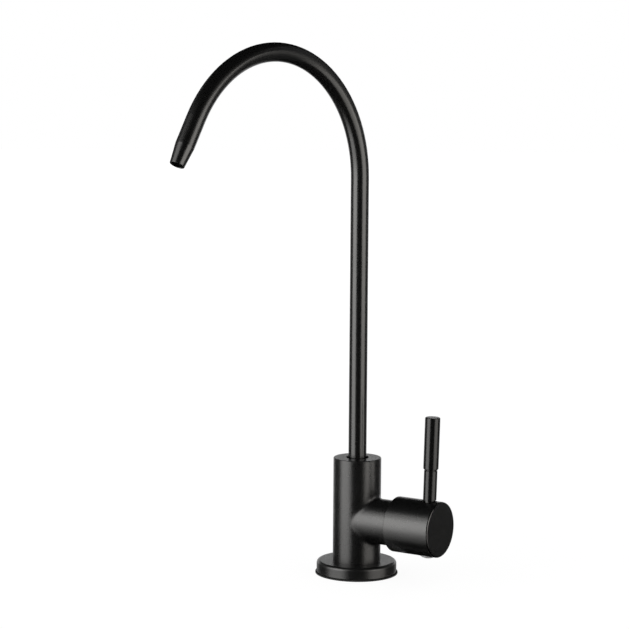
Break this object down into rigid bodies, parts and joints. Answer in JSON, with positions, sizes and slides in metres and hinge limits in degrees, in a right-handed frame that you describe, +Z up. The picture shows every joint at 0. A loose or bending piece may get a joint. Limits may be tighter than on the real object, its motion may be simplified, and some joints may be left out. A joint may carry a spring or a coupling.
{
  "type": "drinking water filter tap",
  "caption": "Deck-mounted filtered-water tap with a slim swivelling gooseneck spout, a side valve with an upright pin lever, a round base flange and a threaded shank.",
  "frame": {"origin": "on the swivel axis of the spout, in the underside of the base gasket, which is the top of the deck", "axes": "+Z up the column and the spout's swivel axis, +X along the handle's axis from the column to the cap, -Y towards the user; the spout is stored turned 9.2 degrees from -Y, away from the handle"},
  "size_m": [0.0796, 0.1634, 0.3569],
  "materials": {
    "satin_black": "satin black coating on metal",
    "black_rubber": "matt black rubber",
    "black_plastic": "matt black bearing plastic",
    "white_plastic": "white acetal plastic",
    "brass": "turned brass",
    "steel": "plain stainless steel",
    "ceramic": "lapped alumina",
    "bright_trim": "bright domed trim"
  },
  "bodies": {
    "tap": {"valve_body": "satin_black", "base_flange": "satin_black", "base_gasket": "black_rubber", "threaded_shank": "brass", "shank_o_ring": "black_rubber", "clamp_gasket": "black_rubber", "clamp_washer": "steel", "lock_washer": "steel", "mounting_nut": "brass", "inlet_nut": "brass", "inlet_sleeve": "white_plastic", "spout_bush": "black_plastic", "cartridge_housing": "brass", "cartridge_o_ring": "black_rubber", "seat_seal": "black_rubber", "fixed_ceramic_disc": "ceramic"},
    "spout": {"spout_tube": "satin_black", "spout_ferrule": "brass", "spout_o_rings": "black_rubber", "spout_snap_ring": "white_plastic"},
    "handle": {"handle_cap": "satin_black", "lever_stem": "satin_black", "lever_grip": "satin_black", "handle_grub_screw": "steel", "screw_plug": "bright_trim", "spindle": "brass", "spindle_o_rings": "black_rubber", "spindle_clip": "steel", "stop_ring": "steel", "thrust_washer": "white_plastic", "moving_ceramic_disc": "ceramic"}
  },
  "joints": [
    {"name": "spout_swivel", "type": "hinge", "parent": "tap", "child": "spout", "pos_m": [0, 0, 0.055], "axis": [0, 0, 1], "continuous": true},
    {"name": "handle_turn", "type": "hinge", "parent": "tap", "child": "handle", "pos_m": [0.0396, 0, 0.0306], "axis": [1, 0, 0], "range_deg": [0, 90]}
  ]
}
